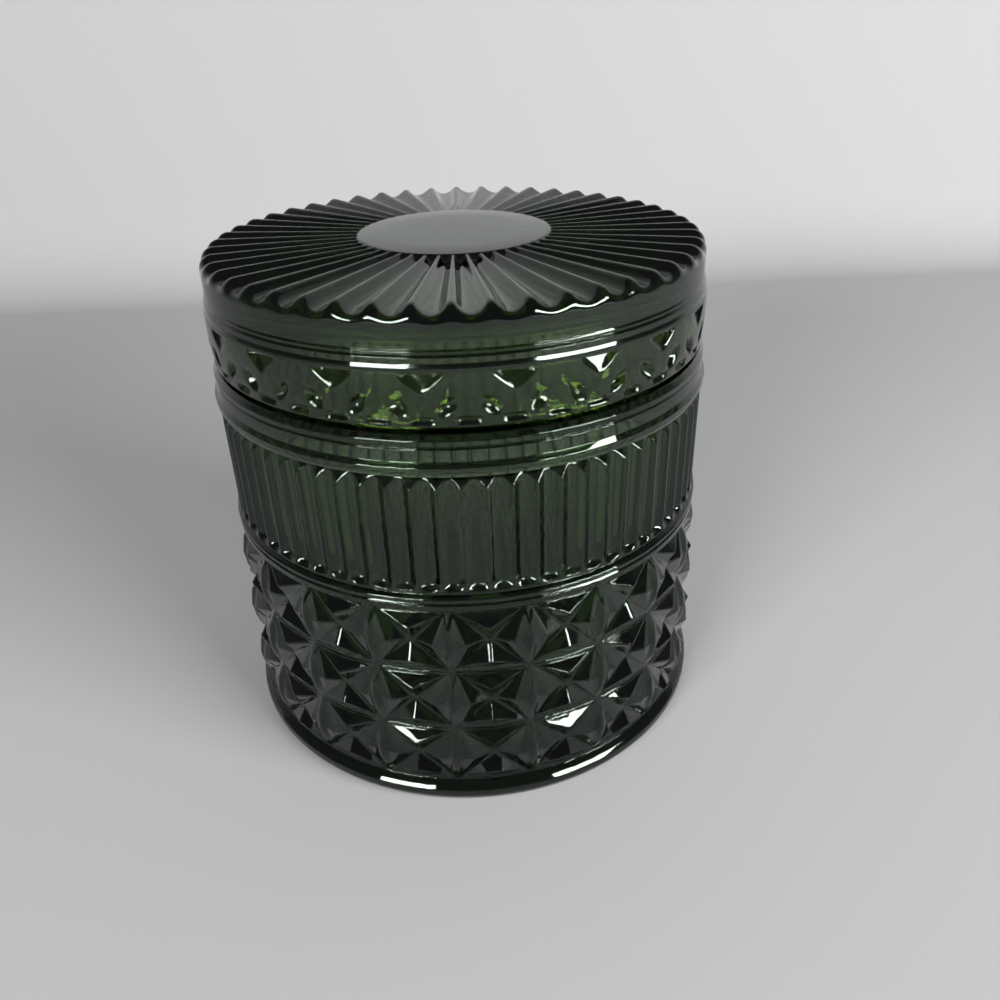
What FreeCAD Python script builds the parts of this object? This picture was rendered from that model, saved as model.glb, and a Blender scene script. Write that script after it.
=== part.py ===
import FreeCAD, Part

import math
import os

# Pressed-glass storage jar with a loose lid. Millimetres, +Z up.
# The origin is the centre of the foot, on the surface that the jar stands on.

# ---- overall ----
lid_top_z = 127.0            # flat disc in the middle of the lid
foot_r = 64.5                # widest radius, on the rounded foot

# ---- jar body, outside ----
star_columns = 21            # square star cells round the jar
star_turn_deg = -1.3         # middle of the first star column, from +X
star_rows = 3
star_bottom_z = 6.2
star_row_h = 17.2
star_crest_r = (64.3, 64.0, 63.4)     # highest points of each row's bosses, lowest row first
lattice_r = 62.2             # wall between the bosses, in the middle of a row
row_groove_r = 61.5          # narrow groove between two rows
boss_foot_r = 61.7           # where the boss facets run out
boss_root_r = 60.0           # bosses reach this far into the wall
bead_z = 61.2                # rounded ring between the stars and the flutes
bead_r = 62.7
flute_count = 72
flute_turn_deg = 1.4         # middle of the first flute, from +X
flute_bottom_z = 63.9
flute_top_z = 89.0           # where the ridges between flutes start to slope in
flute_r = 61.9               # ridges between flutes
flute_depth = 1.15
flute_ridge = 0.36           # width left on each ridge
collar_z = 91.0              # recess between the flutes and the shoulder band
collar_r = 60.5
band_r = 62.3                # widest radius of the shoulder band
band_mid_z = 94.1
band_slope_z = 96.4          # where the band starts to narrow
band_top_z = 98.0
groove_z = 98.6              # fine groove above the band
ring_z = 99.3                # rounded ring under the ledge
ledge_z = 101.3              # ledge under the lid's skirt
ledge_r = 60.3

# ---- jar body, inside and neck ----
floor_z = 7.0
inner_r_low = 56.0
inner_r_high = 57.2
wall_top_z = 93.0            # where the inside starts to close in
mouth_low_z = 99.0           # where the inside is down to the mouth's radius
mouth_r = 51.7
neck_r = 56.2
neck_top_z = 113.5
foot_recess_z = 2.2          # hollow under the foot ring
foot_ring_r = (52.0, 61.0)   # inner and outer radius of the face that it stands on

# ---- lid ----
lid_groove_count = 48
lid_groove_turn_deg = 2.45   # middle of the first radial groove, from +X
crest_z = 126.8              # crests between the radial grooves
disc_r = 23.4
groove_depth_at_rim = 2.0
crest_share = 0.08           # share of the pitch left as crest
rim_roll = 3.2               # rounding between the lid's top and its side
lid_side_r = 60.3            # plain side band
side_low_z = 117.6           # where the plain band ends
flare_z = 116.2              # foot of the small step under the plain band
lid_skirt_r = 61.35
lid_bottom_z = 102.0
skirt_clearance = 1.0        # between the skirt's inside and the neck
lid_inner_r = 54.2
lid_roof_z = 121.0           # underside of the lid's roof
skirt_wide_z = 111.0         # where the skirt is widest
skirt_mid_z = 107.6          # middle of the dimpled band
dimple_row_h = 11.6
dimple_turn_deg = 5.35       # middle of the first triangle, from +X
oval_r = 2.3
oval_place = 0.54            # share of half a cell, to each side of the triangle
slot_r = 1.3
slot_length = 3.4
slot_drop = 3.4              # slots' height under the middle of the dimpled band
triangle_top_z = 113.3

cut_past = 0.05              # how far cutters stand out of the surface that they cut

axis_z = FreeCAD.Vector(0, 0, 1)
origin = FreeCAD.Vector(0, 0, 0)


def rounded_outline(corners):
    """Closed wire in the XZ plane through (radius, height, rounding) corners."""
    points = [FreeCAD.Vector(r, 0, z) for r, z, rounding in corners]
    starts = []
    ends = []
    arcs = []
    for i, corner in enumerate(points):
        towards_last = (points[i - 1] - corner).normalize()
        towards_next = (points[(i + 1) % len(points)] - corner).normalize()
        turn = towards_last.getAngle(towards_next)
        rounding = corners[i][2]
        if rounding == 0 or abs(turn - math.pi) < 1e-4:
            starts.append(corner)
            ends.append(corner)
            continue
        back = rounding / math.tan(turn / 2)
        middle = (towards_last + towards_next).normalize()
        centre = corner + middle * (rounding / math.sin(turn / 2))
        start = corner + towards_last * back
        end = corner + towards_next * back
        arcs.append((i, start, centre - middle * rounding, end))
        starts.append(start)
        ends.append(end)
    arc_at = {i: Part.Arc(a, b, c).toShape() for i, a, b, c in arcs}
    edges = []
    for i in range(len(points)):
        if i in arc_at:
            edges.append(arc_at[i])
        following = (i + 1) % len(points)
        if (starts[following] - ends[i]).Length > 1e-6:
            edges.append(Part.LineSegment(ends[i], starts[following]).toShape())
    return Part.Wire(edges)


def turned(corners):
    """Solid of revolution about Z from an outline."""
    return Part.Face(rounded_outline(corners)).revolve(origin, axis_z, 360)


def around(shape, count, first_deg=0.0):
    """Copies of a shape, evenly spaced round Z."""
    copies = []
    for i in range(count):
        copy = shape.copy()
        copy.rotate(origin, axis_z, first_deg + 360.0 * i / count)
        copies.append(copy)
    return copies


def on_wall(angle_deg, z, r):
    """Point at an angle from +X round the wall."""
    angle = math.radians(angle_deg)
    return FreeCAD.Vector(r * math.cos(angle), r * math.sin(angle), z)


def facet_solid(rim, ridge, facets, root):
    """Closed solid: triangular facets over a rim, straight walls from the rim down to a buried root."""
    points = rim + ridge
    triangles = [[points[i] for i in facet] for facet in facets]
    for i in range(len(rim)):
        j = (i + 1) % len(rim)
        triangles += [[rim[i], rim[j], root[j]], [rim[i], root[j], root[i]]]
    for i in range(1, len(root) - 1):
        triangles.append([root[0], root[i], root[i + 1]])
    faces = [Part.Face(Part.makePolygon(corners + corners[:1])) for corners in triangles]
    solid = Part.makeSolid(Part.makeShell(faces))
    if solid.Volume < 0:
        solid.reverse()
    return solid


def star_bosses():
    """Four faceted bosses in each square cell leave a cross of narrow grooves and an upright strip."""
    upright = ([(0.0, 0.07), (0.80, 0.86), (0.0, 0.86), (-0.80, 0.86)], [(0.0, 0.45)],
               [(0, 1, 4), (1, 2, 4), (2, 3, 4), (3, 0, 4)])
    sideways = ([(0.08, 0.0), (0.88, -0.80), (0.87, 0.0), (0.88, 0.80)], [(0.58, 0.0), (0.80, 0.0)],
                [(0, 1, 4), (1, 5, 4), (1, 2, 5), (2, 3, 5), (3, 4, 5), (3, 0, 4)])
    half_angle = 180.0 / star_columns
    bosses = []
    for row in range(star_rows):
        z_mid = star_bottom_z + star_row_h * (row + 0.5)
        for flip in (1, -1):
            for (rim, ridge, facets), (flip_u, flip_v) in ((upright, (1, flip)), (sideways, (flip, 1))):
                def placed(cell_points, r):
                    return [on_wall(u * flip_u * half_angle, z_mid + v * flip_v * star_row_h / 2, r)
                            for u, v in cell_points]
                one = facet_solid(placed(rim, boss_foot_r), placed(ridge, star_crest_r[row]), facets,
                                  placed(rim, boss_root_r))
                bosses += around(one, star_columns, star_turn_deg)
    return bosses


def triangle_cutter(corners, bottom, half_angle, half_height, z_mid, r_out, r_bottom):
    """Faceted pit given in cell units: both coordinates run from -1 to 1 across the cell."""
    outer = [on_wall(u * half_angle, z_mid + v * half_height, r_out) for u, v in corners]
    deepest = on_wall(bottom[0] * half_angle, z_mid + bottom[1] * half_height, r_bottom)
    faces = [Part.Face(Part.makePolygon(outer + outer[:1]))]
    for i, point in enumerate(outer):
        faces.append(Part.Face(Part.makePolygon([point, outer[(i + 1) % len(outer)], deepest, point])))
    solid = Part.makeSolid(Part.makeShell(faces))
    if solid.Volume < 0:
        solid.reverse()
    return solid


def flute_cutters():
    """Hollow upright flutes, each a circular segment in section."""
    half_chord = math.pi * flute_r / flute_count - flute_ridge / 2
    outer_x = flute_r + cut_past
    left = FreeCAD.Vector(outer_x, -half_chord, flute_bottom_z)
    middle = FreeCAD.Vector(flute_r - flute_depth, 0, flute_bottom_z)
    right = FreeCAD.Vector(outer_x, half_chord, flute_bottom_z)
    section = Part.Wire([Part.Arc(left, middle, right).toShape(), Part.LineSegment(right, left).toShape()])
    flute = Part.Face(section).extrude(axis_z * (collar_z - flute_bottom_z))
    return around(flute, flute_count, flute_turn_deg)


def jar_profile():
    """Outline of the jar's half section: foot, star rows, bead, flute band, shoulder, neck, inside."""
    corners = [
        (0.0, foot_recess_z, 0),
        (foot_ring_r[0] - 3.0, foot_recess_z, 2.0),
        (foot_ring_r[0], 0.0, 0.8),
        (foot_ring_r[1], 0.0, 1.5),
        (foot_r - 0.7, 1.3, 1.2),
        (foot_r, 3.6, 1.6),
        (foot_r - 0.2, star_bottom_z - 1.2, 0.5),
        (lattice_r, star_bottom_z - 0.5, 0.3),
    ]
    for row in range(star_rows):
        low = star_bottom_z + row * star_row_h
        corners += [
            (row_groove_r, low, 0.2),
            (lattice_r - 0.3, low + 0.6, 0.3),
            (lattice_r, low + star_row_h / 2, 20.0),
            (lattice_r - 0.3, low + star_row_h - 0.6, 0.3),
        ]
    star_top_z = star_bottom_z + star_rows * star_row_h
    corners += [
        (row_groove_r, star_top_z, 0.2),
        (bead_r - 0.5, star_top_z + 0.8, 0.3),
        (bead_r, bead_z - 0.6, 0.6),
        (bead_r, bead_z + 0.7, 0.8),
        (flute_r - 0.9, bead_z + 1.6, 0.5),
        (flute_r - 0.6, flute_bottom_z - 0.5, 0.3),
        (flute_r, flute_bottom_z, 0.3),
        (flute_r, flute_top_z, 0.3),
        (collar_r, collar_z - 0.5, 0),
        (collar_r, collar_z + 0.2, 0.3),
        (band_r - 0.5, collar_z + 0.9, 0.5),
        (band_r, band_mid_z, 2.0),
        (band_r - 0.7, band_slope_z, 1.0),
        (band_r - 1.1, band_top_z, 0.4),
        (collar_r + 0.1, groove_z, 0.2),
        (band_r - 0.7, ring_z, 0.6),
        (ledge_r + 0.7, ledge_z - 0.3, 1.0),
        (ledge_r - 1.0, ledge_z, 0.5),
        (neck_r, ledge_z, 0.8),
        (neck_r, neck_top_z, 1.1),
        (mouth_r, neck_top_z, 1.1),
        (mouth_r, mouth_low_z, 4.0),
        (inner_r_high, wall_top_z, 5.0),
        (inner_r_low, floor_z, 7.0),
        (0.0, floor_z, 0),
    ]
    return corners


def make_jar():
    body = turned(jar_profile()).cut(Part.Compound(flute_cutters()))
    return body.fuse(star_bosses())


def groove_cutters():
    """Tapered round-bottomed grooves; each is a cone whose tip lies on the lid's axis."""
    rim = lid_side_r - 1.0
    chord = 2 * math.pi * rim / lid_groove_count * (1 - crest_share)
    radius = (chord ** 2 / 4 + groove_depth_at_rim ** 2) / (2 * groove_depth_at_rim)
    slope = FreeCAD.Vector(rim, 0, radius - groove_depth_at_rim)
    tip = FreeCAD.Vector(0, 0, crest_z)
    near = disc_r / rim
    far = (lid_side_r + 6.0) / rim
    cone = Part.makeCone(radius * near, radius * far, slope.Length * (far - near), tip + slope * near, slope)
    slab = Part.makeCylinder(lid_side_r + 10.0, 12.0, FreeCAD.Vector(0, 0, crest_z + cut_past - 12.0), axis_z)
    return around(cone.common(slab), lid_groove_count, lid_groove_turn_deg)


def dimple_cutters():
    """Soft star row on the skirt: a triangle, two side ovals and small slots in each of its cells."""
    half_angle = 180.0 / star_columns
    r_out = lid_skirt_r + 0.5
    triangle = triangle_cutter([(-0.66, 0.98), (0.0, 0.25), (0.66, 0.98)], (0.0, 0.66),
                               half_angle, dimple_row_h / 2, skirt_mid_z, r_out, lid_skirt_r - 1.1)
    cutters = around(triangle, star_columns, dimple_turn_deg)
    for side in (-1, 1):
        centre = on_wall(side * oval_place * half_angle, skirt_mid_z - 0.1, lid_skirt_r + 1.3)
        cutters += around(Part.makeSphere(oval_r, centre), star_columns, dimple_turn_deg)
    slot_end = FreeCAD.Vector(lid_skirt_r + 0.45, -slot_length / 2, skirt_mid_z - slot_drop)
    slot = Part.makeCylinder(slot_r, slot_length, slot_end, FreeCAD.Vector(0, 1, 0))
    cutters += around(slot, 2 * star_columns, dimple_turn_deg)
    return cutters


def lid_profile():
    """Outline of the lid's half section: disc, ribbed top, side band, skirt, seat, hollow."""
    skirt_inner_r = neck_r + skirt_clearance
    return [
        (0.0, lid_top_z, 0),
        (disc_r, lid_top_z, 0.15),
        (disc_r, crest_z, 0),
        (lid_side_r, crest_z, rim_roll),
        (lid_side_r, side_low_z, 0.4),
        (lid_side_r + 0.5, flare_z, 0.8),
        (lid_skirt_r - 0.1, triangle_top_z + 0.5, 0.6),
        (lid_skirt_r, skirt_wide_z, 3.0),
        (lid_skirt_r - 0.5, lid_bottom_z, 0.8),
        (skirt_inner_r, lid_bottom_z, 0.7),
        (skirt_inner_r, neck_top_z, 0.8),
        (lid_inner_r, neck_top_z, 0.3),
        (lid_inner_r - 0.4, lid_roof_z, 3.0),
        (0.0, lid_roof_z, 0),
    ]


def make_lid():
    cap = turned(lid_profile())
    return cap.cut(Part.Compound(groove_cutters() + dimple_cutters()))


def main():
    os.makedirs("parts", exist_ok=True)
    for name, make in (("jar_body", make_jar), ("lid", make_lid)):
        shape = make()
        shape.exportStep("parts/" + name + ".step")
        box = shape.optimalBoundingBox(False)
        print(name, "valid", shape.isValid(), "solids", len(shape.Solids), "faces", len(shape.Faces))
        print("  cm3 %.1f  box %.2f %.2f %.2f" % (shape.Volume / 1000, box.XLength, box.YLength, box.ZLength))


main()
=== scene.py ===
import bpy
import bmesh
import math
from mathutils import Matrix, Vector


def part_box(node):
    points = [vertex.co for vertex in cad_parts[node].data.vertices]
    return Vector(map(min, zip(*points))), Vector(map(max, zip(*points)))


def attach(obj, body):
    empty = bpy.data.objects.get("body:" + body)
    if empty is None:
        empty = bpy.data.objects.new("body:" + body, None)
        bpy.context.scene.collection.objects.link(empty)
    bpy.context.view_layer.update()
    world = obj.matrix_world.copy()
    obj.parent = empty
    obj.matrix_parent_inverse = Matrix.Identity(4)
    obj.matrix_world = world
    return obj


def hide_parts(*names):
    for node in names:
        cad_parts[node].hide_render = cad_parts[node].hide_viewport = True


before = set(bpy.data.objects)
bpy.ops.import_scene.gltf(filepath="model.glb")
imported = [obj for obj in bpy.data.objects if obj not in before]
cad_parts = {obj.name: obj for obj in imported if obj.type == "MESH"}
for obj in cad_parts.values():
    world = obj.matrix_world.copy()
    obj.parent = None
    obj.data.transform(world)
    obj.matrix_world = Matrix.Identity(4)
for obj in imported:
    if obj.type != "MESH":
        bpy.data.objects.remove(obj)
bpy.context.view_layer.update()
fullHeight = 127.0  # jar and lid together; every size below is in millimetres of this height
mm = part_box("lid")[1].z / fullHeight  # one of those millimetres, in the frame's metres
nearAxis = 0.01  # radius of a ring just before it closes into a pole
weldGap = 0.002  # points closer than this become one
print("frame loaded, one millimetre is", round(mm, 6))


def arcOutline(corners, steps=4):
    # (radius, height, rounding) corners become a fine outline, each rounding an arc
    outline = []
    for i, (r, z, rounding) in enumerate(corners):
        corner = Vector((r, z))
        if rounding == 0 or i == 0 or i == len(corners) - 1:
            outline.append(corner)
            continue
        before = (Vector(corners[i - 1][:2]) - corner).normalized()
        after = (Vector(corners[i + 1][:2]) - corner).normalized()
        opening = before.angle(after)
        middle = (before + after).normalized()
        centre = corner + middle * (rounding / math.sin(opening / 2))
        back = rounding / math.tan(opening / 2)
        first = corner + before * back - centre
        turn = first.angle_signed(corner + after * back - centre)
        for k in range(steps + 1):
            share = turn * k / steps
            outline.append(centre + Matrix.Rotation(-share, 2) @ first)
    return outline


def growRing(bm, edges, place):
    # extrudes a loop of edges once; place(angle) gives each new vertex its radius and height
    grown = bmesh.ops.extrude_edge_only(bm, edges=edges)["geom"]
    for v in (g for g in grown if isinstance(g, bmesh.types.BMVert)):
        putOnRing(v, place)
    return [g for g in grown if isinstance(g, bmesh.types.BMEdge) and len(g.link_faces) == 1]


def putOnRing(v, place):
    angle = math.atan2(v.co.y, v.co.x)
    r, z = place(angle)
    v.co = (r * math.cos(angle), r * math.sin(angle), z)


def growAlong(bm, edges, outline):
    # plain turned surface, one ring for each outline point
    for point in outline:
        edges = growRing(bm, edges, lambda angle: (point[0], point[1]))
    return edges


def closePole(bm, edges, z):
    # draws the last ring together on the axis
    edges = growRing(bm, edges, lambda angle: (nearAxis, z))
    verts = list({v for e in edges for v in e.verts})
    bmesh.ops.pointmerge(bm, verts=verts, merge_co=Vector((0, 0, z)))


def smoothStep(value, start, end):
    t = max(0.0, min(1.0, (value - start) / (end - start)))
    return t * t * (3 - 2 * t)


def wrapDegrees(degrees, pitch):
    # distance to the nearest repeat, from -pitch/2 to pitch/2
    return (degrees + pitch / 2) % pitch - pitch / 2


def finishPiece(bm, name, materials, body, node):
    bmesh.ops.remove_doubles(bm, verts=bm.verts, dist=weldGap)
    bmesh.ops.recalc_face_normals(bm, faces=bm.faces)
    bmesh.ops.scale(bm, vec=Vector((mm, mm, mm)), verts=bm.verts)
    for face in bm.faces:
        face.smooth = True
    mesh = bpy.data.meshes.new(name)
    bm.to_mesh(mesh)
    bm.free()
    piece = bpy.data.objects.new(name, mesh)
    bpy.context.scene.collection.objects.link(piece)
    for material in materials:
        mesh.materials.append(material)
    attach(piece, body)
    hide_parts(node)
    return piece


jarLook = {
    "ringSteps": 504,        # 24 for each star column and 7 for each flute
    "starColumns": 21,
    "starRows": 3,
    "starLow": 6.2,
    "rowHeight": 17.2,
    "crestRadii": (64.3, 64.0, 63.4),
    "columnEdge": -5.571,    # degrees right of the front, a boundary between two star columns
    "fluteCount": 72,
    "fluteLow": 63.9,
    "fluteHigh": 88.9,
    "fluteRadius": 61.9,
    "fluteDepth": 1.7,
    "fluteRound": 1.8,       # how full the hollow of a flute is
    "fluteCap": 1.25,        # steepness of the cone that cuts the flutes off at the top
    "ridgeWeight": 0.9,      # share of the edge rounding on the ridges between flutes
    "edgeWidth": 0.42,       # rounding of the star edges
    "edgeSteps": 3,
}

# one quarter of a star cell: name, across, up, depth under the crest; the cell runs from -1 to 1
starPoints = {
    "centre": (0.0, 0.0, 2.5),
    "tipUp": (0.0, 0.10, 2.4),
    "tipSide": (0.11, 0.0, 2.4),
    "node": (1.0, 1.0, 2.5),
    "bossCorner": (0.78, 0.86, 2.25),
    "sideCorner": (0.87, 0.78, 2.25),
    "edgeMid": (0.0, 0.87, 2.3),
    "grooveLip": (0.0, 0.95, 2.1),
    "lipEnd": (0.80, 0.965, 2.2),
    "grooveMid": (0.0, 1.0, 2.5),
    "apexUp": (0.0, 0.54, 0.05),
    "apexSide": (0.58, 0.0, 0.5),
    "stripEdge": (0.80, 0.0, 0.7),
    "padEdge": (0.91, 0.0, 0.1),
    "padEdgeUp": (0.935, 0.45, 0.75),
    "padMid": (1.0, 0.0, 0.0),
    "padUp": (1.0, 0.5, 0.6),
}
starFaces = (
    ("grooveMid", "grooveLip", "lipEnd", "node"),
    ("grooveLip", "edgeMid", "bossCorner", "lipEnd"),
    ("lipEnd", "bossCorner", "node"),
    ("centre", "tipUp", "bossCorner", "node"),
    ("centre", "node", "sideCorner", "tipSide"),
    ("edgeMid", "apexUp", "bossCorner"),
    ("apexUp", "tipUp", "bossCorner"),
    ("tipSide", "sideCorner", "apexSide"),
    ("apexSide", "sideCorner", "stripEdge"),
    ("stripEdge", "sideCorner", "padEdgeUp", "padEdge"),
    ("padEdge", "padEdgeUp", "padUp", "padMid"),
    ("padEdgeUp", "sideCorner", "node", "padUp"),
)
starCreases = {
    ("apexUp", "bossCorner"): 1.0,
    ("apexUp", "tipUp"): 1.4,
    ("apexSide", "sideCorner"): 1.0,
    ("apexSide", "tipSide"): 0.9,
    ("apexSide", "stripEdge"): 0.6,
    ("padEdge", "padEdgeUp"): 0.7,
    ("padEdgeUp", "sideCorner"): 0.6,
    ("padMid", "padUp"): 0.5,
    ("edgeMid", "bossCorner"): 0.4,
    ("grooveLip", "lipEnd"): 0.3,
}


def starQuarter(bm, weights):
    verts = {name: bm.verts.new((u, depth, v)) for name, (u, v, depth) in starPoints.items()}
    for names in starFaces:
        bm.faces.new([verts[n] for n in names])
    for names, weight in starCreases.items():
        edge = bm.edges.get([verts[n] for n in names])
        edge[weights] = weight


def starColumn(bm, weights):
    # one quarter, mirrored twice into a cell, then repeated up the column
    starQuarter(bm, weights)
    for axis in ("X", "Z"):
        everything = bm.verts[:] + bm.edges[:] + bm.faces[:]
        bmesh.ops.mirror(bm, geom=everything, axis=axis, merge_dist=0.001)
    cell = bm.verts[:] + bm.edges[:] + bm.faces[:]
    for row in range(1, jarLook["starRows"]):
        copy = bmesh.ops.duplicate(bm, geom=cell)["geom"]
        verts = [g for g in copy if isinstance(g, bmesh.types.BMVert)]
        bmesh.ops.translate(bm, vec=Vector((0, 0, 2 * row)), verts=verts)
    bmesh.ops.remove_doubles(bm, verts=bm.verts, dist=0.001)


def fineRims(bm):
    # the column's lowest and highest edges get the steps of the plain rings
    half = jarLook["ringSteps"] // jarLook["starColumns"] // 2
    top = 2 * jarLook["starRows"] - 1
    for height in (-1.0, top):
        rim = [e for e in bm.edges if all(abs(v.co.z - height) < 1e-4 for v in e.verts)]
        bmesh.ops.subdivide_edges(bm, edges=rim, cuts=half - 1)
        verts = sorted((v for v in bm.verts if abs(v.co.z - height) < 1e-4), key=lambda v: v.co.x)
        for k, v in enumerate(verts):
            v.co.x = (k - half) / half


def crestRadius(z):
    # smooth curve through the crests of the three rows
    low, mid, high = jarLook["crestRadii"]
    t = (z - jarLook["starLow"]) / jarLook["rowHeight"] - 1.5
    return mid + (high - low) / 2 * t + ((high + low) / 2 - mid) * t * t


def bendColumn(bm):
    pitch = 2 * math.pi / jarLook["starColumns"]
    middle = math.radians(jarLook["columnEdge"] - 90) + pitch / 2
    for v in bm.verts:
        z = jarLook["starLow"] + jarLook["rowHeight"] * (v.co.z + 1) / 2
        r = crestRadius(z) - v.co.y
        angle = middle + v.co.x * pitch / 2
        v.co = (r * math.cos(angle), r * math.sin(angle), z)


def spreadColumns(bm):
    column = bm.verts[:] + bm.edges[:] + bm.faces[:]
    pitch = 2 * math.pi / jarLook["starColumns"]
    for i in range(1, jarLook["starColumns"]):
        copy = bmesh.ops.duplicate(bm, geom=column)["geom"]
        verts = [g for g in copy if isinstance(g, bmesh.types.BMVert)]
        bmesh.ops.rotate(bm, verts=verts, cent=Vector(), matrix=Matrix.Rotation(i * pitch, 3, "Z"))
    bmesh.ops.remove_doubles(bm, verts=bm.verts, dist=weldGap)


def openLoop(bm, high):
    edges = [e for e in bm.edges if e.is_boundary]
    limit = jarLook["starLow"] + jarLook["rowHeight"] * jarLook["starRows"] / 2
    return [e for e in edges if (e.verts[0].co.z > limit) == high]


def fluteShare(angle):
    # 0 on the ridges between flutes, 1 in the middle of each hollow
    pitch = 360.0 / jarLook["fluteCount"]
    ridge = jarLook["columnEdge"] - 90 + 6 * 360.0 / jarLook["ringSteps"]
    return abs(wrapDegrees(math.degrees(angle) - ridge, pitch)) / (pitch / 2)


def flutePlace(z, depthShare, endLift, capped):
    # one ring of the flute band; the hollows are arcs between narrow ridges
    look = jarLook

    def place(angle):
        share = fluteShare(angle)
        hollow = 1 - (1 - share) ** look["fluteRound"]
        r = look["fluteRadius"] - look["fluteDepth"] * hollow * depthShare
        height = z + endLift * (1 - hollow) ** 2
        if capped:
            height = z + (look["fluteRadius"] - r) * look["fluteCap"]
        return r, height

    return place


def growFlutes(bm, edges, weights):
    look = jarLook
    low, high = look["fluteLow"], look["fluteHigh"]
    stations = (
        (low - 0.3, 0.0, 0.0, False),
        (low + 0.1, 0.35, 0.5, False),
        (low + 0.5, 0.8, 0.9, False),
        (low + 1.1, 1.0, 0.9, False),
        (low + 9.0, 1.0, 0.0, False),
        (high - 2.0, 1.0, 0.0, False),
        (high - 0.25, 1.0, 0.0, True),
    )
    for z, depthShare, endLift, capped in stations:
        edges = growRing(bm, edges, flutePlace(z, depthShare, endLift, capped))
        if capped:
            for e in edges:
                e[weights] = look["ridgeWeight"]
    for e in bm.edges:
        a, b = (v.co for v in e.verts)
        upright = abs(a.z - b.z) > 0.12 and abs(math.atan2(a.y, a.x) - math.atan2(b.y, b.x)) < 1e-4
        if upright and min(a.z, b.z) > low + 0.2 and max(a.z, b.z) < high + 0.5:
            if fluteShare(math.atan2(a.y, a.x)) < 0.02:
                e[weights] = look["ridgeWeight"]
    edges = growRing(bm, edges, lambda angle: (60.0, 91.1))
    for e in edges:
        e[weights] = 0.0  # the rings above stay as drawn
    return edges


def shoulderOutline():
    return arcOutline([
        (59.95, 91.2, 0),
        (59.9, 91.6, 0.15),
        (61.9, 91.9, 0.35),
        (62.3, 92.8, 0.4),
        (62.35, 94.1, 0.7),
        (61.65, 95.3, 0.5),
        (61.45, 97.9, 0.3),
        (61.0, 98.25, 0.12),
        (61.6, 98.65, 0.25),
        (61.65, 99.8, 0.7),
        (60.7, 101.1, 0.5),
        (59.0, 101.35, 0.5),
        (56.8, 101.4, 0.5),
        (56.2, 102.4, 0.6),
        (56.2, 113.5, 1.1),
        (51.7, 113.5, 1.1),
        (51.7, 99.0, 3.5),
        (57.0, 92.0, 5.0),
        (56.0, 7.0, 6.5),
        (30.0, 7.0, 0),
        (6.0, 7.0, 0),
    ], 4)


def beadOutline():
    return arcOutline([
        (61.9, 57.95, 0),
        (62.3, 58.6, 0.25),
        (62.35, 59.9, 0.3),
        (61.95, 60.4, 0.15),
        (62.85, 61.6, 0.75),
        (61.3, 62.35, 0.3),
        (61.2, 63.0, 0.3),
        (61.85, 63.3, 0),
    ], 3)


def footOutline():
    return arcOutline([
        (62.3, 6.0, 0),
        (63.6, 5.2, 0.5),
        (64.35, 4.2, 0.8),
        (64.4, 2.6, 0.9),
        (63.6, 0.9, 1.0),
        (61.0, 0.0, 1.2),
        (52.0, 0.0, 0.8),
        (49.0, 2.2, 1.6),
        (30.0, 2.2, 0),
        (6.0, 2.2, 0),
    ], 4)


def makeJar(materials):
    bm = bmesh.new()
    weights = bm.edges.layers.float.new("bevel_weight_edge")
    starColumn(bm, weights)
    fineRims(bm)
    bendColumn(bm)
    spreadColumns(bm)
    foot = growAlong(bm, openLoop(bm, False), footOutline())
    closePole(bm, foot, 2.2)
    upper = growAlong(bm, openLoop(bm, True), beadOutline())
    upper = growFlutes(bm, upper, weights)
    upper = growAlong(bm, upper, shoulderOutline())
    closePole(bm, upper, 7.0)
    jar = finishPiece(bm, "jarGlass", materials, "jar", "jar_body")
    edgeRound = jar.modifiers.new("starEdges", "BEVEL")
    edgeRound.limit_method = "WEIGHT"
    edgeRound.width = jarLook["edgeWidth"] * mm
    edgeRound.segments = jarLook["edgeSteps"]
    edgeRound.use_clamp_overlap = False
    evenShade = jar.modifiers.new("evenShade", "WEIGHTED_NORMAL")
    evenShade.weight = 60
    return jar


lidLook = {
    "ringSteps": 672,        # 14 for each radial groove and 32 for each dimple group
    "grooveCount": 48,
    "crestEdge": -1.3,       # degrees right of the front, a crest between two grooves
    "crestHeight": 126.8,
    "discRadius": 23.4,
    "rimGrooveDepth": 2.1,
    "rimGrooveRadius": 57.0,
    "innerShare": 0.40,      # the grooves' depth at the axis, as a share of the rim's
    "crestLand": 0.11,       # flat of each crest, as a share of half a groove
    "crestWidth": 0.06,      # rounding of each crest, the same way
    "crestPull": 1.5,        # draws the rings' points towards the crests
    "sideRadius": 60.35,
    "rimRoll": 3.3,
    "skirtFull": 61.33,      # largest radius of the dimpled skirt
    "skirtFullHeight": 110.5,
    "skirtFlare": 0.55,      # what the radius loses over skirtReach
    "skirtReach": 8.5,
    "dimpleCount": 21,
    "dimpleMiddle": 9.64,    # degrees right of the front, a triangle
    "dimpleHeight": 107.9,
    "dimpleRadius": 61.0,    # where distances across the dimples are measured
    "triangleSlope": 0.38,   # the triangle's floor leans back towards its top
    "ovalAside": 4.9,
    "ovalDrop": 0.7,
    "ovalLean": 0.8,         # radians, top ends outwards
    "ovalHalf": (1.6, 3.0),  # across and along
    "ovalDepth": 1.5,
    "slotDrop": 3.85,
    "slotHalf": 1.7,
    "slotRound": (0.8, 0.75),
    "slotDepth": 1.0,
}


def grooveShare(angle):
    pitch = 360.0 / lidLook["grooveCount"]
    return wrapDegrees(math.degrees(angle) + 90 - lidLook["crestEdge"], pitch) / (pitch / 2)


def crestCurve(across):
    # groove section: 0 on the crest, 1 at the bottom, rounded at both
    land, soft = lidLook["crestLand"], lidLook["crestWidth"]
    across = max(0.0, across - land) / (1 - land)
    across = (math.hypot(across, soft) - soft) / (math.hypot(1, soft) - soft)
    return 1 - (1 - across) ** 2


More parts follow.
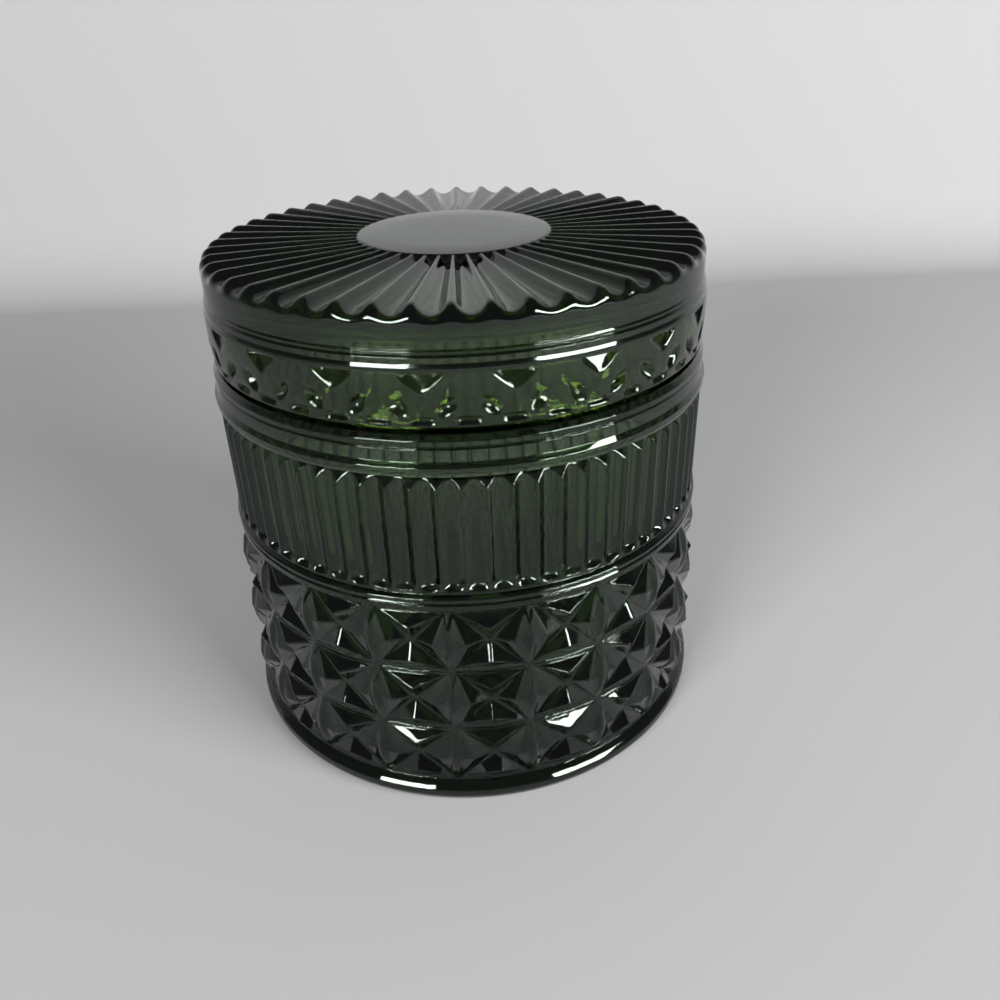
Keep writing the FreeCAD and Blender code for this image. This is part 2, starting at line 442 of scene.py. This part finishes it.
def grooveDepth(r):
    # shallow at the disc, deepest at the rim
    inner = lidLook["innerShare"]
    return lidLook["rimGrooveDepth"] * (inner + (1 - inner) * (r / lidLook["rimGrooveRadius"]))


def pullToCrest(bm, edges, strength):
    # slides the newest ring's points along the ring, closer together on the crests
    halfPitch = math.pi / lidLook["grooveCount"]
    for v in {v for e in edges for v in e.verts}:
        away = grooveShare(math.atan2(v.co.y, v.co.x))
        pulled = math.copysign(abs(away) ** strength, away)
        v.co = Matrix.Rotation((pulled - away) * halfPitch, 3, "Z") @ v.co


def topPlace(r, fade):
    def place(angle):
        return r, lidLook["crestHeight"] - grooveDepth(r) * crestCurve(abs(grooveShare(angle))) * fade

    return place


def rimPlace(share):
    # share 0 to 1 goes from the top over the rim to the plain side band
    look = lidLook
    side, roll = look["sideRadius"], look["rimRoll"]

    def place(angle):
        low = grooveDepth(side - roll) * crestCurve(abs(grooveShare(angle)))
        start = side - roll + low * 1.05
        height = look["crestHeight"] - low
        radius = side - start
        turn = share * math.pi / 2
        drop = radius + low * 0.25
        return start + radius * math.sin(turn), height - drop * (1 - math.cos(turn))

    return place


def triangleDepth(x, up):
    # a flat floor leaning back under a straight top edge
    half = 0.4 + 1.0 * (up - 2.2)
    slope = lidLook["triangleSlope"] * (up - 1.9)
    return max(0.0, slope) * smoothStep(half - abs(x), -0.3, 0.6) * smoothStep(6.3 - up, 0.0, 0.5)


def ovalDepth(x, up, side):
    look = lidLook
    dx, dz = x - side * look["ovalAside"], up + look["ovalDrop"]
    lean = side * look["ovalLean"]
    along = dz * math.cos(lean) + dx * math.sin(lean)
    over = dx * math.cos(lean) - dz * math.sin(lean)
    reach = math.hypot(over / look["ovalHalf"][0], along / look["ovalHalf"][1])
    return look["ovalDepth"] * (1 - smoothStep(reach, 0.1, 1.15))


def slotDepth(x, up):
    look = lidLook
    past = max(0.0, abs(x) - look["slotHalf"])
    reach = math.hypot(past / look["slotRound"][0], (up + look["slotDrop"]) / look["slotRound"][1])
    return look["slotDepth"] * (1 - smoothStep(reach, 0.3, 1.3))


def dimpleDepth(angle, z):
    # triangle, two leaning ovals and two small slots in each group
    look = lidLook
    pitch = 360.0 / look["dimpleCount"]
    a = wrapDegrees(math.degrees(angle) + 90 - look["dimpleMiddle"], pitch)
    x = math.radians(a) * look["dimpleRadius"]
    slotX = math.radians(wrapDegrees(a, pitch / 2)) * look["dimpleRadius"]
    up = z - look["dimpleHeight"]
    return max(triangleDepth(x, up), ovalDepth(x, up, -1), ovalDepth(x, up, 1), slotDepth(slotX, up))


def skirtPlace(r, z):
    def place(angle):
        return r - dimpleDepth(angle, z), z

    return place


def skirtRadius(z):
    # gentle flare under the plain band, fullest a third of the way down
    away = (z - lidLook["skirtFullHeight"]) / lidLook["skirtReach"]
    return lidLook["skirtFull"] - lidLook["skirtFlare"] * away ** 2


def insideLidOutline():
    return arcOutline([
        (60.5, 102.1, 0),
        (60.0, 102.0, 0.2),
        (57.2, 102.0, 0.6),
        (57.2, 113.56, 0.8),
        (54.2, 113.56, 0.3),
        (53.8, 121.0, 3.0),
        (30.0, 121.0, 0),
        (6.0, 121.0, 0),
    ], 4)


def makeLid(materials):
    look = lidLook
    bm = bmesh.new()
    start = -90 + look["crestEdge"]
    turn = Matrix.Rotation(math.radians(start), 4, "Z")
    bmesh.ops.create_circle(bm, segments=look["ringSteps"], radius=6.0, matrix=turn)
    ring = bm.edges[:]
    bmesh.ops.translate(bm, vec=Vector((0, 0, fullHeight)), verts=bm.verts)
    closePole(bm, ring, fullHeight)
    outer = [e for e in bm.edges if e.is_boundary]
    disc = look["discRadius"]
    discEdge = [(15.0, fullHeight), (disc - 0.4, fullHeight), (disc - 0.12, 126.96), (disc, 126.84)]
    outer = growAlong(bm, outer, discEdge)
    pullToCrest(bm, outer, look["crestPull"])
    for r, fade in ((disc + 0.12, 0.12), (disc + 0.5, 0.62), (disc + 1.1, 0.93), (disc + 2.0, 1.0)):
        outer = growRing(bm, outer, topPlace(r, fade))
    for r in (30.0, 36.0, 42.0, 48.0, 53.0, 56.6):
        outer = growRing(bm, outer, topPlace(r, 1.0))
    for k in range(9):
        outer = growRing(bm, outer, rimPlace(k / 8))
    pullToCrest(bm, outer, 1 / look["crestPull"])
    side = arcOutline([
        (look["sideRadius"], 123.0, 0),
        (look["sideRadius"] + 0.02, 118.5, 0.3),
        (look["sideRadius"] + 0.32, 117.95, 0.4),
        (look["sideRadius"] + 0.10, 117.5, 0.12),
        (look["sideRadius"] + 0.48, 117.0, 0.42),
        (look["sideRadius"] + 0.50, 115.8, 0.5),
        (skirtRadius(114.9), 115.0, 0.8),
        (skirtRadius(114.5), 114.5, 0),
    ], 3)
    outer = growAlong(bm, outer, side)
    for k in range(26):
        z = 114.2 - k * 0.46
        outer = growRing(bm, outer, skirtPlace(skirtRadius(z), z))
    outer = growAlong(bm, outer, insideLidOutline())
    closePole(bm, outer, 121.0)
    return finishPiece(bm, "lidGlass", materials, "lid", "lid")


glassLook = {
    "tintJar": (0.60, 0.67, 0.54),
    "densityJar": 780.0,     # per metre
    "tintLid": (0.60, 0.68, 0.36),
    "densityLid": 760.0,
    "reflectTint": (0.86, 1.0, 0.88, 1),
    "ior": 1.51,
    "roughJar": (0.01, 0.05),
    "roughLid": (0.02, 0.12),
    "smearScale": 38.0,      # patches of softer gloss
    "smearRange": (0.35, 0.75),
    "flowScale": 120.0,      # ripple left by pressing
    "flowStrength": 0.12,
    "flowHeight": 0.0004,    # metres
}


def makeGlass(name, tint, density, rough):
    material = bpy.data.materials.new(name)
    material.use_nodes = True
    tree = material.node_tree
    nodes, links = tree.nodes, tree.links
    shader = nodes["Principled BSDF"]
    output = nodes["Material Output"]
    shader.inputs["Base Color"].default_value = (1, 1, 1, 1)
    shader.inputs["Transmission Weight"].default_value = 1.0
    shader.inputs["IOR"].default_value = glassLook["ior"]
    shader.inputs["Specular Tint"].default_value = glassLook["reflectTint"]
    place = nodes.new("ShaderNodeTexCoord")
    smear = nodes.new("ShaderNodeTexNoise")
    smear.inputs["Scale"].default_value = glassLook["smearScale"]
    smear.inputs["Detail"].default_value = 4.0
    links.new(place.outputs["Object"], smear.inputs["Vector"])
    gloss = nodes.new("ShaderNodeMapRange")
    gloss.inputs["From Min"].default_value, gloss.inputs["From Max"].default_value = glassLook["smearRange"]
    gloss.inputs["To Min"].default_value, gloss.inputs["To Max"].default_value = rough
    links.new(smear.outputs["Fac"], gloss.inputs["Value"])
    links.new(gloss.outputs["Result"], shader.inputs["Roughness"])
    flow = nodes.new("ShaderNodeTexNoise")
    flow.inputs["Scale"].default_value = glassLook["flowScale"]
    flow.inputs["Detail"].default_value = 2.0
    links.new(place.outputs["Object"], flow.inputs["Vector"])
    ripple = nodes.new("ShaderNodeBump")
    ripple.inputs["Strength"].default_value = glassLook["flowStrength"]
    ripple.inputs["Distance"].default_value = glassLook["flowHeight"]
    links.new(flow.outputs["Fac"], ripple.inputs["Height"])
    links.new(ripple.outputs["Normal"], shader.inputs["Normal"])
    inside = nodes.new("ShaderNodeVolumeAbsorption")
    inside.inputs["Color"].default_value = (*tint, 1)
    inside.inputs["Density"].default_value = density
    links.new(inside.outputs["Volume"], output.inputs["Volume"])
    return material


look = glassLook
jarGlass = makeGlass("deepGreenGlass", look["tintJar"], look["densityJar"], look["roughJar"])
lidGlass = makeGlass("lidGreenGlass", look["tintLid"], look["densityLid"], look["roughLid"])
print("glass mixed")
jarPiece = makeJar([jarGlass])
print("jar made,", len(jarPiece.data.polygons), "faces")
lidPiece = makeLid([lidGlass])
print("lid made,", len(lidPiece.data.polygons), "faces")


roomLook = {
    "floorColour": (0.44, 0.44, 0.445, 1),
    "floorSize": 1.6,
    "backDistance": 0.42,
    "backLean": 0.1,         # how far the back wall slopes away
    "backHeight": 1.4,
    "backBend": 0.05,        # rounding where the floor turns into the wall
    "floorRoughness": 0.9,
    "worldGrey": 0.14,
    "windowGlow": 34.0,      # brightness of the two windows
    "windowLift": 19.0,      # degrees over the horizon
    "windowDistance": 1.2,
    "windowHeight": 0.26,
    "windowLeft": (-34.0, 0.50),  # degrees right of the front, and width
    "windowRight": (50.0, 0.75),
    "windowAim": 0.06,       # height that both windows face
    "lens": 31.2,
    "cameraTurn": (29.96, 2.41, -1.83),  # pitch, yaw and roll in degrees
    "cameraSpot": (0.0, -1.6993, 1.3782),  # in heights of the jar
}


def makeFloor():
    bm = bmesh.new()
    size = roomLook["floorSize"]
    bmesh.ops.create_grid(bm, x_segments=1, y_segments=1, size=size)
    far = [e for e in bm.edges if all(v.co.y > size * 0.9 for v in e.verts)]
    for v in {v for e in far for v in e.verts}:
        v.co.y = roomLook["backDistance"]
    raised = bmesh.ops.extrude_edge_only(bm, edges=far)["geom"]
    verts = [g for g in raised if isinstance(g, bmesh.types.BMVert)]
    bmesh.ops.translate(bm, vec=Vector((0, roomLook["backLean"], roomLook["backHeight"])), verts=verts)
    bend = [e for e in bm.edges if len(e.link_faces) == 2]
    radius = roomLook["backBend"]
    bmesh.ops.bevel(bm, geom=bend, offset=radius, segments=10, profile=0.5, affect="EDGES", material=-1)
    bmesh.ops.recalc_face_normals(bm, faces=bm.faces)
    mesh = bpy.data.meshes.new("paleFloor")
    for face in bm.faces:
        face.smooth = True
    bm.to_mesh(mesh)
    bm.free()
    floor = bpy.data.objects.new("paleFloor", mesh)
    bpy.context.scene.collection.objects.link(floor)
    plaster = bpy.data.materials.new("palePlaster")
    plaster.use_nodes = True
    shader = plaster.node_tree.nodes["Principled BSDF"]
    shader.inputs["Base Color"].default_value = roomLook["floorColour"]
    shader.inputs["Roughness"].default_value = roomLook["floorRoughness"]
    mesh.materials.append(plaster)
    return floor


def addWindow(name, aside, width):
    # aside is degrees right of the front
    height, glow = roomLook["windowHeight"], roomLook["windowGlow"]
    light = bpy.data.lights.new(name, "AREA")
    light.shape = "RECTANGLE"
    light.size, light.size_y = width, height
    light.energy = glow * math.pi * width * height
    lamp = bpy.data.objects.new(name, light)
    side, lift = math.radians(aside), math.radians(roomLook["windowLift"])
    away = Vector((math.sin(side) * math.cos(lift), -math.cos(side) * math.cos(lift), math.sin(lift)))
    lamp.location = Vector((0, 0, roomLook["windowAim"])) + away * roomLook["windowDistance"]
    lamp.rotation_euler = (-away).to_track_quat("-Z", "Y").to_euler()
    bpy.context.scene.collection.objects.link(lamp)
    return lamp


def addCamera():
    data = bpy.data.cameras.new("frontCamera")
    data.lens, data.sensor_width = roomLook["lens"], 36.0
    camera = bpy.data.objects.new("frontCamera", data)
    pitch, yaw, roll = (math.radians(x) for x in roomLook["cameraTurn"])
    ahead = Vector((math.sin(yaw) * math.cos(pitch), math.cos(yaw) * math.cos(pitch), -math.sin(pitch)))
    right = Vector((math.cos(yaw), -math.sin(yaw), 0))
    up = right.cross(ahead)
    turnedRight = math.cos(roll) * right + math.sin(roll) * up
    turnedUp = -math.sin(roll) * right + math.cos(roll) * up
    spot = Vector(roomLook["cameraSpot"]) * fullHeight * mm
    axes = Matrix((turnedRight, turnedUp, -ahead)).transposed().to_4x4()
    camera.matrix_world = Matrix.Translation(spot) @ axes
    data.clip_start = 0.005
    bpy.context.scene.collection.objects.link(camera)
    bpy.context.scene.camera = camera


def lightRoom():
    world = bpy.data.worlds.new("softRoom")
    bpy.context.scene.world = world
    world.use_nodes = True
    sky = world.node_tree.nodes["Background"]
    grey = roomLook["worldGrey"]
    sky.inputs["Color"].default_value = (grey, grey, grey * 1.03, 1)
    for name in ("windowLeft", "windowRight"):
        addWindow(name, *roomLook[name])
    bpy.context.scene.view_settings.view_transform = "Standard"


makeFloor()
addCamera()
lightRoom()
print("room made")
